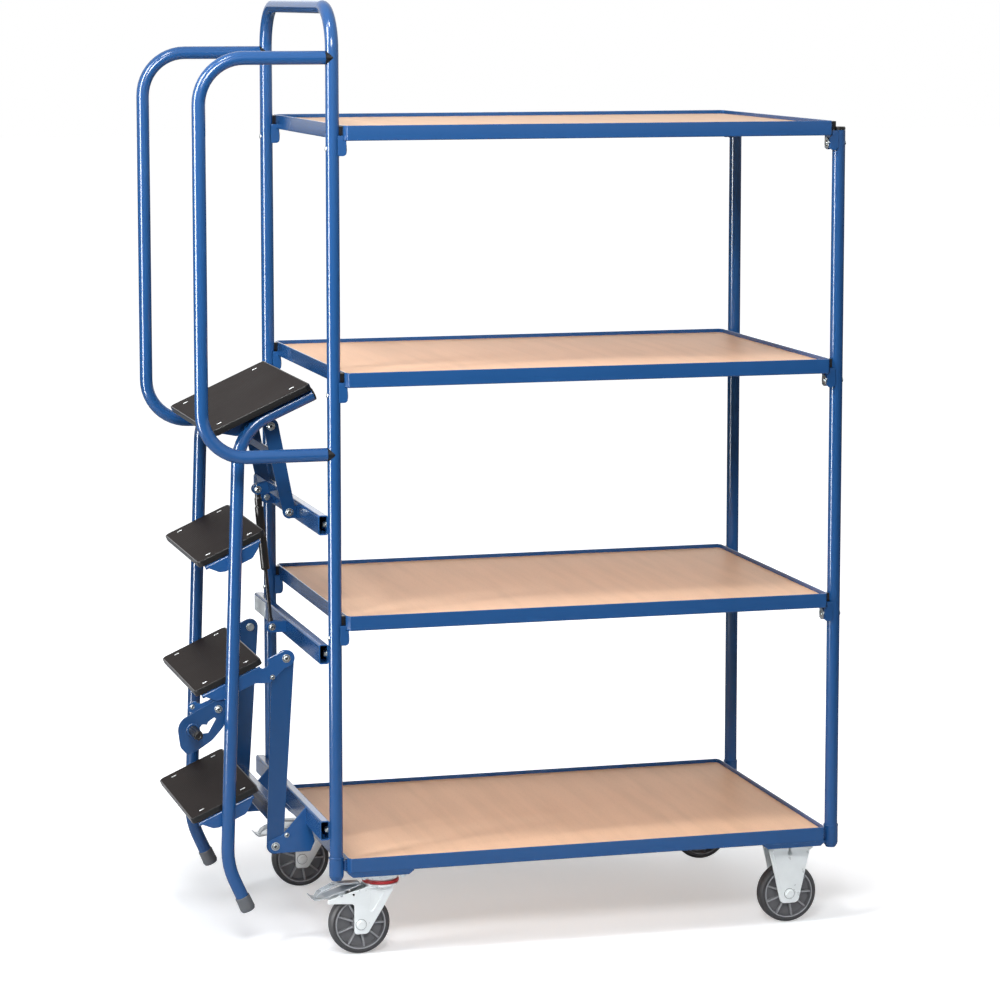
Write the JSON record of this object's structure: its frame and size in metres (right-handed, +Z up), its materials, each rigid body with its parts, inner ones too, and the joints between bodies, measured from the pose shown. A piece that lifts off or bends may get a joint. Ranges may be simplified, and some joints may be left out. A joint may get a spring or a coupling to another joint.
{
  "type": "order picking trolley",
  "caption": "Tall framed trolley with wooden shelf decks, castors, guard rails and a step ladder that folds out at one end on a sprung linkage.",
  "frame": {"origin": "on the floor, under the middle of the whole trolley", "axes": "+X from the ladder end to the plain end, +Z up, +Y away from the viewer's side"},
  "size_m": [1.3693, 0.684, 1.92],
  "materials": {
    "blue_powder_coat": "blue powder coat, satin gloss",
    "beech_board": "beech-faced board, smooth satin",
    "ribbed_tread": "dark anti-slip face with fine lines",
    "black_plastic": "moulded black plastic",
    "grey_rubber": "dark grey rubber",
    "tyre_rubber": "grey solid rubber",
    "hub_plastic": "grey moulded hub",
    "bright_zinc": "bright zinc plating",
    "red_seal": "red seal ring",
    "gas_black": "black enamelled steel"
  },
  "bodies": {
    "trolley": {"deck_frame": "blue_powder_coat", "deck_board": "beech_board", "end_hoop": "blue_powder_coat", "upper_cross_rail": "blue_powder_coat", "middle_cross_rail": "blue_powder_coat", "lower_cross_rail": "blue_powder_coat", "shelf_frame_1": "blue_powder_coat", "shelf_frame_2": "blue_powder_coat", "shelf_frame_3": "blue_powder_coat", "shelf_board_1": "beech_board", "shelf_board_2": "beech_board", "shelf_board_3": "beech_board", "post_near": "blue_powder_coat", "post_cap_near": "black_plastic", "guard_rail_near": "blue_powder_coat", "guard_pad_near_lower": "black_plastic", "guard_pad_near_upper": "black_plastic", "fixed_near_fork": "bright_zinc", "swivel_near_plate": "bright_zinc", "swivel_near_seal": "red_seal", "post_far": "blue_powder_coat", "post_cap_far": "black_plastic", "guard_rail_far": "blue_powder_coat", "guard_pad_far_lower": "black_plastic", "guard_pad_far_upper": "black_plastic", "fixed_far_fork": "bright_zinc", "swivel_far_plate": "bright_zinc", "swivel_far_seal": "red_seal"},
    "lower_link": {"lower_link": "blue_powder_coat"},
    "ladder": {"platform": "ribbed_tread", "platform_support": "blue_powder_coat", "tread_1": "ribbed_tread", "tread_support_1": "blue_powder_coat", "tread_2": "ribbed_tread", "tread_support_2": "blue_powder_coat", "tread_3": "ribbed_tread", "tread_support_3": "blue_powder_coat", "stile_near": "blue_powder_coat", "stile_cap_near": "black_plastic", "foot_near": "grey_rubber", "stile_far": "blue_powder_coat", "stile_cap_far": "black_plastic", "foot_far": "grey_rubber"},
    "latch": {"latch_plate": "blue_powder_coat", "latch_grip": "black_plastic"},
    "upper_link": {"upper_link": "blue_powder_coat"},
    "gas_rod": {"gas_spring_rod": "bright_zinc"},
    "gas_cylinder": {"gas_spring_cylinder": "gas_black"},
    "swivel_near": {"swivel_near_fork": "bright_zinc"},
    "pedal_near": {"brake_pedal_near": "bright_zinc"},
    "wheel_swivel_near": {"hub_swivel_near": "hub_plastic", "tyre_swivel_near": "tyre_rubber"},
    "wheel_fixed_near": {"hub_fixed_near": "hub_plastic", "tyre_fixed_near": "tyre_rubber"},
    "swivel_far": {"swivel_far_fork": "bright_zinc"},
    "pedal_far": {"brake_pedal_far": "bright_zinc"},
    "wheel_swivel_far": {"hub_swivel_far": "hub_plastic", "tyre_swivel_far": "tyre_rubber"},
    "wheel_fixed_far": {"hub_fixed_far": "hub_plastic", "tyre_fixed_far": "tyre_rubber"}
  },
  "joints": [
    {"name": "lower_link_swing", "type": "hinge", "parent": "trolley", "child": "lower_link", "pos_m": [-0.4952, 0, 0.2075], "axis": [0, -1, 0], "range_deg": [0, 56.98], "stiffness_Nm_per_rad": 10, "springref_deg": -34.38},
    {"name": "ladder_swing", "type": "hinge", "parent": "lower_link", "child": "ladder", "pos_m": [-0.4695, 0, 0.595], "axis": [0, 1, 0], "range_deg": [0, 81.3]},
    {"name": "upper_link_swing", "type": "hinge", "parent": "trolley", "child": "upper_link", "pos_m": [-0.4457, 0, 0.883], "axis": [0, -1, 0], "range_deg": [0, 82.3]},
    {"name": "gas_spring_swing", "type": "hinge", "parent": "trolley", "child": "gas_rod", "pos_m": [-0.4612, 0, 0.628], "axis": [0, -1, 0], "range_deg": [0, 0.9]},
    {"name": "gas_spring_stroke", "type": "slide", "parent": "gas_rod", "child": "gas_cylinder", "axis": [-0.0954, 0, 0.9954], "range_m": [-0.0725, 0]},
    {"name": "latch_lift", "type": "hinge", "parent": "ladder", "child": "latch", "pos_m": [-0.60945, 0, 0.49779], "axis": [0, 1, 0], "range_deg": [0, 8]},
    {"name": "swivel_near_turn", "type": "hinge", "parent": "trolley", "child": "swivel_near", "pos_m": [-0.2982, -0.28, 0.15], "axis": [0, 0, 1], "continuous": true},
    {"name": "wheel_swivel_near_roll", "type": "hinge", "parent": "swivel_near", "child": "wheel_swivel_near", "pos_m": [-0.3432, -0.28, 0.0625], "axis": [0, 1, 0], "continuous": true},
    {"name": "brake_near_press", "type": "hinge", "parent": "swivel_near", "child": "pedal_near", "pos_m": [-0.3832, -0.28, 0.125], "axis": [0, -1, 0], "range_deg": [0, 10]},
    {"name": "wheel_fixed_near_roll", "type": "hinge", "parent": "trolley", "child": "wheel_fixed_near", "pos_m": [0.5768, -0.28, 0.0625], "axis": [0, 1, 0], "continuous": true},
    {"name": "swivel_far_turn", "type": "hinge", "parent": "trolley", "child": "swivel_far", "pos_m": [-0.2982, 0.28, 0.15], "axis": [0, 0, 1], "continuous": true},
    {"name": "wheel_swivel_far_roll", "type": "hinge", "parent": "swivel_far", "child": "wheel_swivel_far", "pos_m": [-0.3432, 0.28, 0.0625], "axis": [0, 1, 0], "continuous": true},
    {"name": "brake_far_press", "type": "hinge", "parent": "swivel_far", "child": "pedal_far", "pos_m": [-0.3832, 0.28, 0.125], "axis": [0, -1, 0], "range_deg": [0, 10]},
    {"name": "wheel_fixed_far_roll", "type": "hinge", "parent": "trolley", "child": "wheel_fixed_far", "pos_m": [0.5768, 0.28, 0.0625], "axis": [0, 1, 0], "continuous": true}
  ],
  "couplings": [
    {"joint": "ladder_swing", "follows": "lower_link_swing", "ratio": 1.4247},
    {"joint": "upper_link_swing", "follows": "lower_link_swing", "ratio": 1.4425},
    {"joint": "gas_spring_swing", "follows": "lower_link_swing", "ratio": 0.01499},
    {"joint": "gas_spring_stroke", "follows": "lower_link_swing", "m_per_rad": -0.07257}
  ]
}
